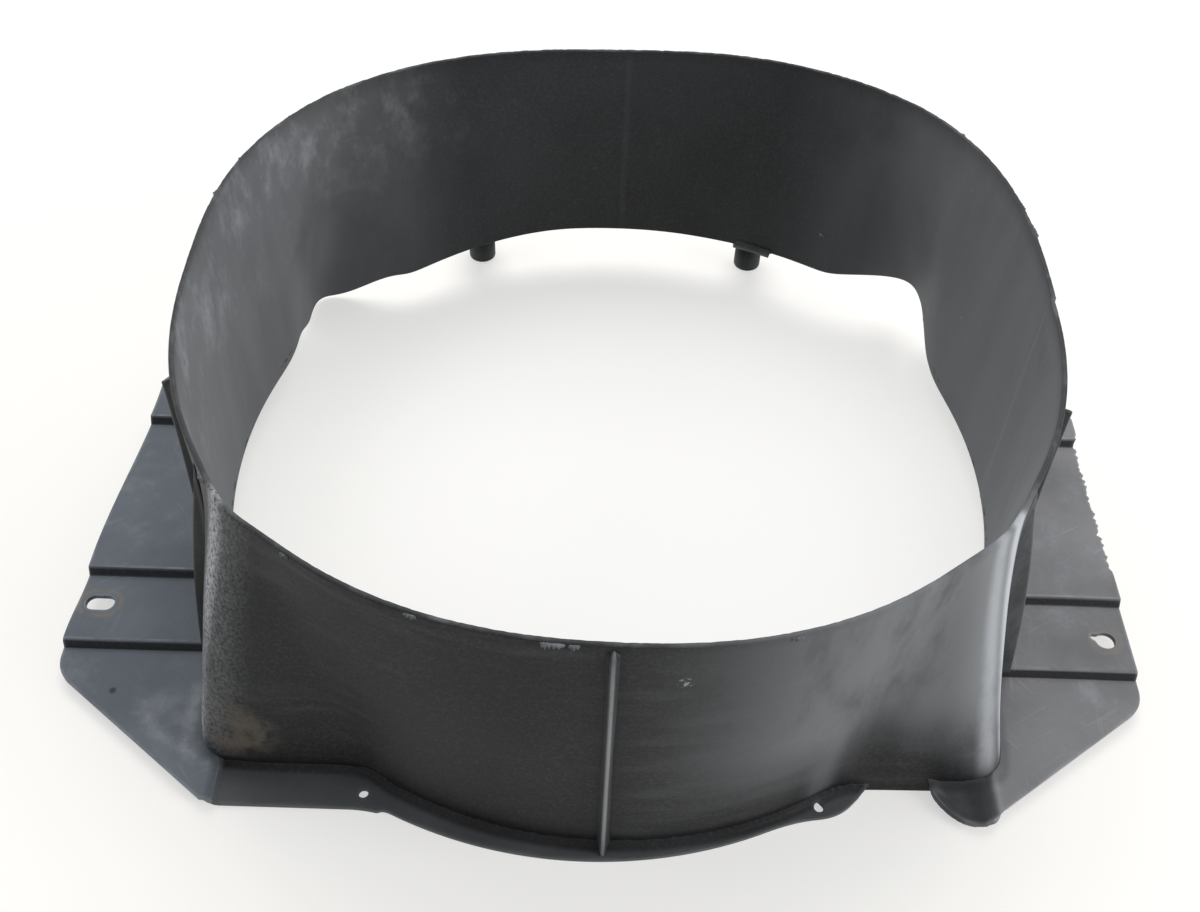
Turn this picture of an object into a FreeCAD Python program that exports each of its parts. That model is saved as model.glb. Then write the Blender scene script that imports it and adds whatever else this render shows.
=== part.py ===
"""Radiator fan shroud: a deep black moulding that joins a radiator face to a round fan throat.

Frame: millimetres, +Z up from the radiator face to the fan rim, origin on the floor under the middle
of the rim. +X is the shroud's right, +Y its rear edge. The moulding lies on its radiator side, so its
flanges are at the bottom.

A round duct and a rectangular box share one wall. At the bottom the box's four corners stand out past
the round duct, and the duct bows out past the box's four sides. Towards the rim the corners sink into
the duct, which ends in a slightly square rim. Two stepped wings at the sides climb towards the rear,
one joggle at each wall rib.
"""
import FreeCAD, Part
import math
import os

# Driving sizes: the rest follow from these, each by a named or written clearance.
WALL = 3.0
HEIGHT = 187.0
DUCT_RADIUS = 242.5
WING_DEPTH = 91.0
FLANGE_DEPTH = 19.0
JOGGLE = 5.5

# Wall: one thickness all over, a round duct blended with a rectangular box.
RIM_HALF_WIDTH = DUCT_RADIUS - 3.0
RIM_HALF_DEPTH = DUCT_RADIUS - 6.5
RIM_FRONT_POWER = 2.2
RIM_REAR_POWER = 2.5
BOX_HALF_WIDTH = DUCT_RADIUS - 16.5
BOX_FRONT = DUCT_RADIUS - 36.5
BOX_REAR = DUCT_RADIUS - 52.5
BOX_TOP_HALF_WIDTH = BOX_HALF_WIDTH - 25.0
BOX_TOP_FRONT = BOX_FRONT - 20.0
BOX_TOP_REAR = BOX_REAR - 2.0
BOX_CORNER_SHARPNESS = 26.0
BOX_TOP_SHARPNESS = 6.5
BLEND = 70.0
CREASE_FADE = 1.5
SECTION_HEIGHTS = (0.0, 0.16, 0.38, 0.6, 0.8, 0.92, 1.0)
CREASE_X = math.sqrt(DUCT_RADIUS ** 2 - BOX_FRONT ** 2)

# Ribs stand in planes of constant Y, and the wings step up at the first three.
FRONT_RIB_Y = 73.0 - BOX_FRONT
MIDDLE_RIB_Y = FRONT_RIB_Y + 53.0
REAR_RIB_Y = MIDDLE_RIB_Y + 131.0
BACK_RIB_Y = BOX_REAR - 78.0

# Wings: flat panels that climb by one joggle at each rib line, from the front flange to the rear.
WING_HALF_WIDTH = BOX_HALF_WIDTH + WING_DEPTH
WING_CORNER_Y = FRONT_RIB_Y - 13.0
WING_CORNER_RADIUS = 14.0
WING_TIP_X = BOX_HALF_WIDTH - 12.0
WING_REAR_END_Y = BOX_REAR - 32.0
WING_REAR_END_X = BOX_HALF_WIDTH + 10.0
WING_TAPER = 2.0
LEVEL_START = 40.0

# Front flange, lip, tab and foot, all on the floor.
FLANGE_FRONT_Y = -(BOX_FRONT + FLANGE_DEPTH)
LIP_RADIUS = DUCT_RADIUS + 8.0
LIP_LEFT_X = 7.0 - CREASE_X
LIP_RIGHT_X = CREASE_X - 28.0
TAB_FRONT_Y = FLANGE_FRONT_Y + 3.0
TAB_FRONT_X = CREASE_X + 2.0
TAB_RIGHT_X = CREASE_X + 17.0
TAB_ROUND = 10.0
FOOT_LEFT_X = BOX_HALF_WIDTH - 45.0
FOOT_FRONT_X = WING_TIP_X - 20.0
FOOT_ROUND = 10.0

# Slots in the wings and holes in the front flange.
SLOT_INSET = 15.0
SLOT_X = WING_HALF_WIDTH - SLOT_INSET
SLOT_LENGTH = 17.0
SLOT_WIDTH = 10.0
LEFT_HOLE_X = -(CREASE_X + 3.0)
RIGHT_HOLE_X = CREASE_X - 10.0
FLANGE_HOLE_RADIUS = 2.75
FLANGE_HOLE_Y = TAB_FRONT_Y + 2 * FLANGE_HOLE_RADIUS

# Ribs on the outside of the wall.
RIB = 3.0
RIB_DROP = 7.0
CENTRE_RIB = 4.5
CENTRE_RIB_DEPTH = 6.0
FRONT_RIB_TOP_X = BOX_HALF_WIDTH - 20.0
FRONT_RIB_FOOT_X = BOX_HALF_WIDTH + 14.0
FRONT_RIB_BOW = 6.0
MIDDLE_RIB_TOP_X = RIM_HALF_WIDTH - 4.5
REAR_RIB_TOP_X = RIM_HALF_WIDTH + 4.5
BACK_RIB_TOP_X = RIM_HALF_WIDTH - 4.5
RIB_SPREAD = 7.0
RIB_WAIST = 0.6
RIB_WAIST_SPREAD = 0.3
RIB_KNEE = 0.55

# Round pegs under two ears carry the rear edge.
PEG_X = 103.0
PEG_RADIUS = 10.0
PEG_STANDOFF = 13.0
EAR_MARGIN = 3.0

REAR_LEVEL = 4 * JOGGLE
STEP_LINES = (FRONT_RIB_Y, MIDDLE_RIB_Y, REAR_RIB_Y)
REACH = WING_HALF_WIDTH + 60.0
OVERLAP = 30.0
NEAR = 0.01


def vec(x, y, z=0.0):
    return FreeCAD.Vector(x, y, z)


def lerp(start, end, share):
    return start + (end - start) * share


def polar(radius, angle, height):
    return vec(radius * math.cos(angle), radius * math.sin(angle), height)


def superellipse(angle, half_x, half_y, power):
    """Polar radius of |x / half_x| ^ power + |y / half_y| ^ power = 1."""
    across = abs(math.cos(angle) / half_x) ** power
    along = abs(math.sin(angle) / half_y) ** power
    return (across + along) ** (-1.0 / power)


def duct_radius(angle, share, inset):
    """The round duct: a circle at the bottom that turns slightly square at the rim."""
    power = RIM_REAR_POWER if math.sin(angle) > 0 else RIM_FRONT_POWER
    half_x = lerp(DUCT_RADIUS, RIM_HALF_WIDTH, share) - inset
    half_y = lerp(DUCT_RADIUS, RIM_HALF_DEPTH, share) - inset
    return superellipse(angle, half_x, half_y, lerp(2.0, power, share))


def box_radius(angle, share, inset):
    """The rectangular box: sharp corners at the bottom, soft and sunk into the duct at the rim."""
    rear = math.sin(angle) > 0
    half_x = lerp(BOX_HALF_WIDTH, BOX_TOP_HALF_WIDTH, share) - inset
    bottom_y = BOX_REAR if rear else BOX_FRONT
    top_y = BOX_TOP_REAR if rear else BOX_TOP_FRONT
    half_y = lerp(bottom_y, top_y, share) - inset
    sharpness = 1.0 / lerp(1.0 / BOX_CORNER_SHARPNESS, 1.0 / BOX_TOP_SHARPNESS, share ** CREASE_FADE)
    return superellipse(angle, half_x, half_y, sharpness)


def wall_point(angle, share, inset):
    """A point of the wall: whichever of duct and box stands further out, with a soft crease between."""
    duct = duct_radius(angle, share, inset)
    box = box_radius(angle, share, inset)
    radius = duct * (1.0 + (box / duct) ** BLEND) ** (1.0 / BLEND)
    return polar(radius, angle, HEIGHT * share)


def crease_angles():
    """Angles from +X where the duct crosses the sides, the rear and the front of the box, at the bottom."""
    side = math.acos(BOX_HALF_WIDTH / DUCT_RADIUS)
    rear = math.asin(BOX_REAR / DUCT_RADIUS)
    front = math.asin(BOX_FRONT / DUCT_RADIUS)
    return side, rear, front


def spline(points):
    """A smooth edge through evenly spaced points, so that every section of a loft has the same knots."""
    curve = Part.BSplineCurve()
    steps = [i / (len(points) - 1) for i in range(len(points))]
    curve.interpolate(Points=points, Parameters=steps)
    return curve.toShape()


def wall_section(start, end, share, count):
    angles = [lerp(start, end, i / count) for i in range(count + 1)]
    outer = [wall_point(a, share, 0.0) for a in angles]
    inner = [wall_point(a, share, WALL) for a in reversed(angles)]
    edges = [spline(outer), Part.makeLine(outer[-1], inner[0])]
    edges += [spline(inner), Part.makeLine(inner[-1], outer[0])]
    return Part.Wire(edges)


def wall_panel(start, end, count):
    sections = [wall_section(start, end, share, count) for share in SECTION_HEIGHTS]
    return Part.makeLoft(sections, True, False)


def box_between(low, high):
    size = high - low
    return Part.makeBox(size.x, size.y, size.z, low)


def plate(points, bottom, top):
    """A flat plate with a straight-sided outline."""
    wire = Part.makePolygon([vec(x, y, bottom) for x, y in points + points[:1]])
    return Part.Face(wire).extrude(vec(0, 0, top - bottom))


def mirrored(shape):
    return shape.mirror(vec(0, 0, 0), vec(1, 0, 0))


def outboard(shape, walls):
    """What is left of a shape outside the wall: the piece furthest from the middle."""
    for wall in walls:
        if shape.BoundBox.intersect(wall.BoundBox):
            shape = shape.cut(wall)
    return max(shape.Solids, key=lambda solid: math.hypot(solid.CenterOfMass.x, solid.CenterOfMass.y))


def level_of(index):
    """Height of the underside of a wing panel, counted from the flange at 0."""
    return index * JOGGLE


def stair_void():
    """The space under the stepped lower edge of the walls."""
    first = WING_CORNER_Y - LEVEL_START
    outline = [(-REACH, -JOGGLE), (-REACH, 0.0), (first, 0.0), (first, level_of(1))]
    for index, line in enumerate(STEP_LINES):
        outline += [(line + WALL, level_of(index + 1)), (line + WALL, level_of(index + 2))]
    outline += [(REACH, REAR_LEVEL), (REACH, -JOGGLE)]
    wire = Part.makePolygon([vec(-REACH, y, z) for y, z in outline + outline[:1]])
    return Part.Face(wire).extrude(vec(2 * REACH, 0, 0))


def build_walls():
    side, rear, front = crease_angles()
    turn = 2 * math.pi
    half = math.pi
    spans = {
        "right_wall": (-side, side, 12),
        "rear_right_corner": (side, rear, 22),
        "rear_wall": (rear, half - rear, 18),
        "rear_left_corner": (half - rear, half - side, 22),
        "left_wall": (half - side, half + side, 12),
        "front_left_corner": (half + side, half + front, 26),
        "front_wall": (half + front, turn - front, 16),
        "front_right_corner": (turn - front, turn - side, 26),
    }
    void = stair_void()
    return {name: wall_panel(*span).cut(void) for name, span in spans.items()}


def wing_outline():
    """Plan of the right wing, from the box outwards: front tip, cut corner, straight edge, rear taper."""
    inner = BOX_HALF_WIDTH - OVERLAP
    tip = vec(WING_TIP_X, FLANGE_FRONT_Y)
    corner = vec(WING_HALF_WIDTH, WING_CORNER_Y)
    slope = (tip - corner).normalize()
    before = corner + slope * WING_CORNER_RADIUS
    after = corner + vec(0, WING_CORNER_RADIUS)
    middle = (before + after) / 2
    bulge = (middle + corner) / 2
    shoulder = vec(WING_HALF_WIDTH - WING_TAPER, REAR_RIB_Y + WALL)
    end = vec(WING_REAR_END_X, WING_REAR_END_Y)
    back = vec(inner, WING_REAR_END_Y)
    start = vec(inner, FLANGE_FRONT_Y)
    edges = [Part.makeLine(start, tip), Part.makeLine(tip, before)]
    edges += [Part.Arc(before, bulge, after).toShape(), Part.makeLine(after, shoulder)]
    edges += [Part.makeLine(shoulder, end), Part.makeLine(end, back), Part.makeLine(back, start)]
    return Part.Face(Part.Wire(edges))


def joggled_band(start, end, level):
    """A wing panel's band: a flat plate, with a riser at its front that stands on the panel before it."""
    low = level_of(level)
    flat = box_between(vec(0, start, low), vec(REACH, end, low + WALL))
    riser = box_between(vec(0, start, low - JOGGLE + WALL), vec(REACH, start + WALL, low))
    return flat.fuse(riser).removeSplitter()


def wing_panels(walls):
    """The right wing's four panels, each cut to the wing's plan and seated on the wall."""
    plan = wing_outline().extrude(vec(0, 0, HEIGHT))
    bands = {
        "wing_front_panel": box_between(
            vec(0, FLANGE_FRONT_Y, level_of(1)), vec(REACH, FRONT_RIB_Y + WALL, level_of(1) + WALL)
        ),
        "wing_slot_panel": joggled_band(FRONT_RIB_Y, MIDDLE_RIB_Y + WALL, 2),
        "wing_middle_panel": joggled_band(MIDDLE_RIB_Y, REAR_RIB_Y + WALL, 3),
        "wing_rear_panel": joggled_band(REAR_RIB_Y, WING_REAR_END_Y, 4),
    }
    riser = box_between(
        vec(WING_TIP_X - WALL, FLANGE_FRONT_Y, WALL), vec(WING_TIP_X, -BOX_FRONT + WALL, level_of(1))
    )
    bands["wing_front_panel"] = bands["wing_front_panel"].cut(
        box_between(vec(0, -REACH, 0), vec(WING_TIP_X - WALL, -BOX_FRONT, HEIGHT))
    )
    bands["wing_front_panel"] = bands["wing_front_panel"].fuse(riser)
    panels = {name: outboard(plan.common(band), walls) for name, band in bands.items()}
    panels["wing_slot_panel"] = panels["wing_slot_panel"].cut(slot_tool())
    return {name: panel.removeSplitter() for name, panel in panels.items()}


def slot_tool():
    """A slot that runs along X through the slot panel, midway between the two joggles."""
    half = (SLOT_LENGTH - SLOT_WIDTH) / 2
    radius = SLOT_WIDTH / 2
    y = (FRONT_RIB_Y + WALL + MIDDLE_RIB_Y) / 2
    bar = box_between(vec(SLOT_X - half, y - radius, 0), vec(SLOT_X + half, y + radius, HEIGHT))
    ends = [Part.makeCylinder(radius, HEIGHT, vec(SLOT_X + side * half, y, 0)) for side in (-1, 1)]
    return bar.fuse(ends).removeSplitter()


def side_rib(line, level, outer_edge, walls):
    """A rib in a plane of constant Y, from its wing panel up to just below the rim."""
    foot = level_of(level) + WALL
    inner = BOX_TOP_HALF_WIDTH - OVERLAP
    top = HEIGHT - RIB_DROP
    points = [vec(x, line, lerp(foot, top, share)) for x, share in outer_edge]
    edges = [spline(points)]
    edges += [Part.makeLine(points[-1], vec(inner, line, top))]
    edges += [Part.makeLine(vec(inner, line, top), vec(inner, line, foot))]
    edges += [Part.makeLine(vec(inner, line, foot), points[0])]
    blade = Part.Face(Part.Wire(edges)).extrude(vec(0, RIB, 0))
    return outboard(blade, walls)


def straight_edge(top_x):
    return [(top_x + RIB_SPREAD, 0.0), (top_x + RIB_SPREAD * RIB_WAIST_SPREAD, RIB_WAIST), (top_x, 1.0)]


def side_ribs(walls):
    """The right side's four ribs: the front one leans in with the box corner, the rest stand upright."""
    middle = lerp(FRONT_RIB_FOOT_X, FRONT_RIB_TOP_X, RIB_KNEE) + FRONT_RIB_BOW
    leaning = [(FRONT_RIB_FOOT_X, 0.0), (middle, RIB_KNEE), (FRONT_RIB_TOP_X, 1.0)]
    return {
        "front_rib": side_rib(FRONT_RIB_Y, 2, leaning, walls),
        "middle_rib": side_rib(MIDDLE_RIB_Y, 3, straight_edge(MIDDLE_RIB_TOP_X), walls),
        "rear_rib": side_rib(REAR_RIB_Y, 4, straight_edge(REAR_RIB_TOP_X), walls),
        "back_rib": side_rib(BACK_RIB_Y, 4, straight_edge(BACK_RIB_TOP_X), walls),
    }


def centre_rib(sign, foot, walls):
    """An upright rib on the middle of the front or rear wall, from its foot to just below the rim."""
    top = HEIGHT - RIB_DROP
    outer_foot = sign * (DUCT_RADIUS + CENTRE_RIB_DEPTH)
    outer_top = sign * (RIM_HALF_DEPTH + CENTRE_RIB_DEPTH)
    inner = sign * (RIM_HALF_DEPTH - OVERLAP)
    left = -CENTRE_RIB / 2
    outline = [vec(left, inner, foot), vec(left, outer_foot, foot), vec(left, outer_top, top)]
    outline += [vec(left, inner, top), vec(left, inner, foot)]
    blade = Part.Face(Part.makePolygon(outline)).extrude(vec(CENTRE_RIB, 0, 0))
    return outboard(blade, walls)


def flange_hole(x):
    return Part.makeCylinder(FLANGE_HOLE_RADIUS, HEIGHT, vec(x, FLANGE_HOLE_Y, -WALL))


def front_flange(walls):
    """The flange along the front: a strip, a curved lip, a tab with a hole and a rounded foot."""
    inside = OVERLAP - BOX_FRONT
    strip = plate(
        [
            (-WING_TIP_X, FLANGE_FRONT_Y), (LIP_LEFT_X, FLANGE_FRONT_Y),
            (LIP_LEFT_X, inside), (-WING_TIP_X, inside),
        ],
        0.0, WALL,
    )
    lip = Part.makeCylinder(LIP_RADIUS, WALL)
    lip = lip.common(box_between(vec(LIP_LEFT_X, -REACH, 0), vec(LIP_RIGHT_X, inside, WALL)))
    tab = plate(
        [
            (LIP_RIGHT_X, TAB_FRONT_Y), (TAB_FRONT_X, TAB_FRONT_Y),
            (TAB_RIGHT_X, -BOX_FRONT), (TAB_RIGHT_X, inside), (LIP_RIGHT_X, inside),
        ],
        0.0, WALL,
    )
    foot = plate(
        [
            (FOOT_LEFT_X, inside), (FOOT_LEFT_X, -BOX_FRONT), (FOOT_FRONT_X, FLANGE_FRONT_Y),
            (WING_TIP_X, FLANGE_FRONT_Y), (WING_TIP_X, inside),
        ],
        0.0, WALL,
    )
    tab = rounded(tab, vec(TAB_FRONT_X, TAB_FRONT_Y), TAB_ROUND)
    foot = rounded(foot, vec(FOOT_FRONT_X, FLANGE_FRONT_Y), FOOT_ROUND)
    return {
        "front_left_flange": outboard(strip.cut(flange_hole(LEFT_HOLE_X)), walls),
        "front_lip": outboard(lip, walls),
        "front_right_tab": outboard(tab.cut(flange_hole(RIGHT_HOLE_X)), walls),
        "front_right_foot": outboard(foot, walls),
    }


def rounded(shape, corner, radius):
    """Rounds the upright edge that stands on one corner of a plate."""
    def stands_on_corner(edge):
        return all(math.hypot(v.X - corner.x, v.Y - corner.y) < NEAR for v in edge.Vertexes)

    return shape.makeFillet(radius, [edge for edge in shape.Edges if stands_on_corner(edge)])


def rear_support(walls):
    """An ear that stands out from the rear wall's lower edge, and the round peg under it."""
    peg_y = math.sqrt(DUCT_RADIUS ** 2 - PEG_X ** 2) + PEG_STANDOFF + PEG_RADIUS
    half = PEG_RADIUS + EAR_MARGIN
    end = Part.makeCylinder(half, WALL, vec(PEG_X, peg_y, REAR_LEVEL))
    bar = box_between(vec(PEG_X - half, BOX_REAR, REAR_LEVEL), vec(PEG_X + half, peg_y, REAR_LEVEL + WALL))
    ear = outboard(bar.fuse(end).removeSplitter(), walls)
    peg = Part.makeCylinder(PEG_RADIUS, REAR_LEVEL, vec(PEG_X, peg_y, 0))
    return ear, peg


def build():
    walls = build_walls()
    around = [walls[name] for name in sorted(walls)]
    nodes = dict(walls)
    for name, shape in {**wing_panels(around), **side_ribs(around)}.items():
        nodes["right_" + name] = shape
        nodes["left_" + name] = mirrored(shape)
    nodes.update(front_flange(around))
    nodes["front_centre_rib"] = centre_rib(-1, WALL, around)
    nodes["rear_centre_rib"] = centre_rib(1, REAR_LEVEL, around)
    ear, peg = rear_support(around)
    nodes["rear_right_ear"] = ear
    nodes["rear_left_ear"] = mirrored(ear)
    nodes["rear_right_peg"] = peg
    nodes["rear_left_peg"] = mirrored(peg)
    return nodes


def main():
    os.makedirs("parts", exist_ok=True)
    for name, shape in build().items():
        shape.exportStep(f"parts/{name}.step")
        bounds = shape.optimalBoundingBox()
        print(f"{name}: {len(shape.Solids)} solid, valid {shape.isValid()}, {shape.Volume / 1000:.1f} cm3, "
              f"z {bounds.ZMin:.1f} to {bounds.ZMax:.1f}")


main()
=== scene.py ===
# %% [markdown]
# # A radiator fan shroud
# A truck's radiator fan turns inside a deep black plastic shroud. The shroud is one moulding: a round
# throat for the fan blends into a square-cornered box over the radiator, two stepped wings bolt it to
# the radiator's sides, and thin ribs stiffen it outside. This lesson dresses the CAD model of it as a
# used part: thin rounded edges, soft creases, worn joggles, dust, scuffs and frayed mould flash.

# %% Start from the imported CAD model
import math
from types import SimpleNamespace

import bmesh
import bpy
import numpy as np
from mathutils import Matrix, Vector


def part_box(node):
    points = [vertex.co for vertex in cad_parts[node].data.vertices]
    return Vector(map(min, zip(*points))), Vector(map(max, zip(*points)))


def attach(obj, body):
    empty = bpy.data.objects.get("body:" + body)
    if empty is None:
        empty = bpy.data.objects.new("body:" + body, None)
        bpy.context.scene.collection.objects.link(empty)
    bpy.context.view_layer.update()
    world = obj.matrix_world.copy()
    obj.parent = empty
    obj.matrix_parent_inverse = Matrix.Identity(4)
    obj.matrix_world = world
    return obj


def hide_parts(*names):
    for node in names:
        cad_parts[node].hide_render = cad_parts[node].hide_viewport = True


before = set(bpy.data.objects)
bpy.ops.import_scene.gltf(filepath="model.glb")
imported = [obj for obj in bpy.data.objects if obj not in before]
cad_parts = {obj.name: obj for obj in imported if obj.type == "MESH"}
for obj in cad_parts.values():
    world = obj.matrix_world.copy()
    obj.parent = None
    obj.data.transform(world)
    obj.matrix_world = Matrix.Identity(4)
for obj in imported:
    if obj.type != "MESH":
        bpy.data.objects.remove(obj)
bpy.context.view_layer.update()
MM = 0.001

# %% [markdown]
# The camera comes first, so that every later piece is judged from the same place. It looks down at about
# 49 degrees from in front of the shroud, with a slightly long lens, and is tilted a little on its side.
# Its axes are written out as vectors and put in a matrix, which is clearer than three Euler angles. The
# angles are in radians.

# %% Camera
PITCH = 0.8483
YAW = 0.0083
ROLL = 0.0392
EYE = Vector((-0.0119, -0.5448, 0.6598))
LENS_MM = 39.0
SENSOR_MM = 36.0


def add_camera():
    """Camera axes: forward from yaw and pitch, then right and down turned together by the roll."""
    forward = Vector((math.sin(YAW) * math.cos(PITCH), math.cos(YAW) * math.cos(PITCH), -math.sin(PITCH)))
    level = Vector((math.cos(YAW), -math.sin(YAW), 0.0))
    below = forward.cross(level)
    right = math.cos(ROLL) * level - math.sin(ROLL) * below
    down = math.sin(ROLL) * level + math.cos(ROLL) * below
    data = bpy.data.cameras.new("camera")
    data.lens = LENS_MM
    data.sensor_width = SENSOR_MM
    camera = bpy.data.objects.new("camera", data)
    bpy.context.scene.collection.objects.link(camera)
    turn = Matrix((right, -down, -forward)).transposed().to_4x4()
    camera.matrix_world = Matrix.Translation(EYE) @ turn
    bpy.context.scene.camera = camera
    return camera


print("camera at", [round(v, 3) for v in add_camera().location])

# %% [markdown]
# Sizes are read from the CAD nodes where a node shows them, and the rest are the moulding's own
# clearances. The wall is a round duct and a rectangular box blended: whichever stands further out wins,
# with a soft crease where they cross. The box is a superellipse, sharp at the foot and softer at the rim.

# %% Sizes
WALL = 3.0 * MM
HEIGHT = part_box("front_wall")[1].z
DUCT = -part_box("front_wall")[0].y
WING_HALF_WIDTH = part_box("right_wing_slot_panel")[1].x
FLANGE_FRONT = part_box("front_left_flange")[0].y
RIM_HALF_WIDTH = DUCT - 3.0 * MM
RIM_HALF_DEPTH = DUCT - 6.5 * MM
RIM_FRONT_POWER = 2.2
RIM_REAR_POWER = 2.5
BOX_HALF_WIDTH = DUCT - 16.5 * MM
BOX_FRONT = DUCT - 36.5 * MM
BOX_REAR = DUCT - 52.5 * MM
BOX_TOP_HALF_WIDTH = BOX_HALF_WIDTH - 25.0 * MM
BOX_TOP_FRONT = BOX_FRONT - 20.0 * MM
BOX_TOP_REAR = BOX_REAR - 2.0 * MM
BOX_FOOT_SHARPNESS = 26.0
BOX_TOP_SHARPNESS = 6.5
BLEND = 70.0
CREASE_X = math.sqrt(DUCT ** 2 - BOX_FRONT ** 2)
SIDES = ((-1, "left"), (1, "right"))
print("duct radius", round(DUCT / MM, 1), "height", round(HEIGHT / MM, 1))


# %% Small helpers on arrays
def lerp(start, end, share):
    """start where share is 0, end where it is 1, and a straight mix between."""
    return start + (end - start) * share


def ease(value, low, high):
    """Smooth step: 0 below low, 1 above high, and 3t^2 - 2t^3 between."""
    t = np.clip((value - low) / (high - low), 0.0, 1.0)
    return t * t * (3.0 - 2.0 * t)


def bell(value, middle, width):
    """A bell curve: e to the minus squared distance from the middle, in widths."""
    return np.exp(-((value - middle) / width) ** 2)


def waves(a, b, seed):
    """Gentle irregular waves between about -1 and 1: five sines with their own directions and phases."""
    rng = np.random.default_rng(seed)
    total = 0.0
    for step in range(5):
        turn, phase = rng.uniform(0.0, 2.0 * math.pi, 2)
        pitch = 1.0 + 0.7 * step
        total = total + np.sin(pitch * (a * math.cos(turn) + b * math.sin(turn)) + phase)
    return total / 3.0


# %% Outline of the wall
# (mm, turn in radians, width in radians)
PUSHES = (
    (9.0, 0.64, 0.46), (-1.6, 2.10, 0.35), (3.0, 2.75, 0.30),
    (2.6, 1.25, 0.25), (-0.4, 4.10, 0.35), (2.2, 5.15, 0.40),
)
SUNK_CORNER = (7.0, 5.60, 0.30)


def superellipse(angle, half_x, half_y, power):
    """Polar radius of |x / half_x| ^ power + |y / half_y| ^ power = 1."""
    across = np.abs(np.cos(angle) / half_x) ** power
    along = np.abs(np.sin(angle) / half_y) ** power
    return (across + along) ** (-1.0 / power)


def pushed_out(angle, share):
    """Heat and handling have left the throat out of true: a sum of bells round it, full at the rim.

    One front corner has sunk instead, most at half height.
    """
    turn = np.mod(angle, 2.0 * math.pi)
    push = sum(amount * bell(turn, middle, width) for amount, middle, width in PUSHES)
    sunk, middle, width = SUNK_CORNER
    belly = np.sin(math.pi * np.clip(0.12 + 0.87 * share, 0.0, 1.0))
    return (push * share - sunk * bell(turn, middle, width) * belly) * MM


def wall_radius(angle, z):
    """Polar radius of the wall: duct times (1 + (box / duct) ^ BLEND) ^ (1 / BLEND), a soft maximum."""
    share = np.clip(z / HEIGHT, 0.0, 1.0)
    rear = np.sin(angle) > 0
    duct = superellipse(
        angle, lerp(DUCT, RIM_HALF_WIDTH, share), lerp(DUCT, RIM_HALF_DEPTH, share),
        lerp(2.0, np.where(rear, RIM_REAR_POWER, RIM_FRONT_POWER), share),
    )
    half_x = lerp(BOX_HALF_WIDTH, BOX_TOP_HALF_WIDTH, share)
    half_y = lerp(np.where(rear, BOX_REAR, BOX_FRONT), np.where(rear, BOX_TOP_REAR, BOX_TOP_FRONT), share)
    sharpness = 1.0 / lerp(1.0 / BOX_FOOT_SHARPNESS, 1.0 / BOX_TOP_SHARPNESS, share ** 1.5)
    box = superellipse(angle, half_x, half_y, sharpness)
    return duct * (1.0 + (box / duct) ** BLEND) ** (1.0 / BLEND) + pushed_out(angle, share)


quarter_turns = np.linspace(0.0, 1.5 * math.pi, 4)
print("wall radius at the foot, by quarter turns:", (wall_radius(quarter_turns, 0.0) / MM).round(1))


# %% Put arrays into a mesh
def add_piece(name, points, faces, *nodes, uv=None, bevel=0.0, solid=0.0):
    """A mesh object from vertex and face arrays. It rides on the root and stands for the named CAD nodes."""
    mesh = bpy.data.meshes.new(name)
    mesh.from_pydata(points.reshape(-1, 3).tolist(), [], faces.tolist())
    mesh.update()
    mesh.shade_smooth()
    piece = bpy.data.objects.new(name, mesh)
    bpy.context.scene.collection.objects.link(piece)
    if uv is not None:
        corners = np.empty(len(mesh.loops), np.int32)
        mesh.loops.foreach_get("vertex_index", corners)
        layer = mesh.uv_layers.new(name="around")
        layer.data.foreach_set("uv", uv.reshape(-1, 2)[corners].astype(np.float32).ravel())
    if solid:
        shell = piece.modifiers.new("thickness", "SOLIDIFY")
        shell.thickness = solid
        shell.offset = -1.0
    if bevel:
        edge = piece.modifiers.new("edge", "BEVEL")
        edge.width = bevel
        edge.segments = 2
        edge.limit_method = "ANGLE"
        edge.angle_limit = math.radians(60)
    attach(piece, "root")
    if nodes:
        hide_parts(*nodes)
    print(name, "has", len(mesh.polygons), "faces")
    return piece


def grid_faces(rows, columns, close_rows=False, close_columns=False):
    """Quads of a grid, wrapped round at its ends where asked."""
    r = np.arange(rows if close_rows else rows - 1)
    c = np.arange(columns if close_columns else columns - 1)
    r, c = np.meshgrid(r, c, indexing="ij")
    r2 = (r + 1) % rows
    c2 = (c + 1) % columns
    quads = np.stack([r * columns + c, r2 * columns + c, r2 * columns + c2, r * columns + c2], -1)
    return quads.reshape(-1, 4)


# %% [markdown]
# ## The wall
# The wall is one closed surface of two parameters: the angle round the shroud, and a run along the wall's
# own cross-section, up the outside, over the rim, down the inside and under the edge. The first parameter
# bends the section round the soft-maximum outline. The second carries the wear of a thin moulding: a
# rounded rim, a cove where the box meets its flange, and a lower edge that lies on the floor in front,
# climbs behind the wings and arches at the rear.

# %% Lower edge of the wall
JOGGLE = 5.5 * MM
FRONT_RIB_Y = 73.0 * MM - BOX_FRONT
MIDDLE_RIB_Y = FRONT_RIB_Y + 53.0 * MM
REAR_RIB_Y = MIDDLE_RIB_Y + 131.0 * MM
BACK_RIB_Y = BOX_REAR - 78.0 * MM
STEP_LINES = (FRONT_RIB_Y, MIDDLE_RIB_Y - 5.0 * MM, REAR_RIB_Y - 10.0 * MM)
LEFT_LAG = 7.0 * MM
RISER_START = -0.3 * MM
RISER_END = 1.9 * MM
CLIMB_LINES = (-185.0 * MM,) + STEP_LINES + (120.0 * MM,)
CLIMB_JOGGLES = (0.0, 1.5, 2.5, 3.5, 4.0)
MIDDLE_ARCH = 10.5 * MM
RIGHT_ARCH = 5.0 * MM
LEFT_DROP = 20.0 * MM
COVE = 1.2 * MM
LEFT_COVE = 3.0 * MM


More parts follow.
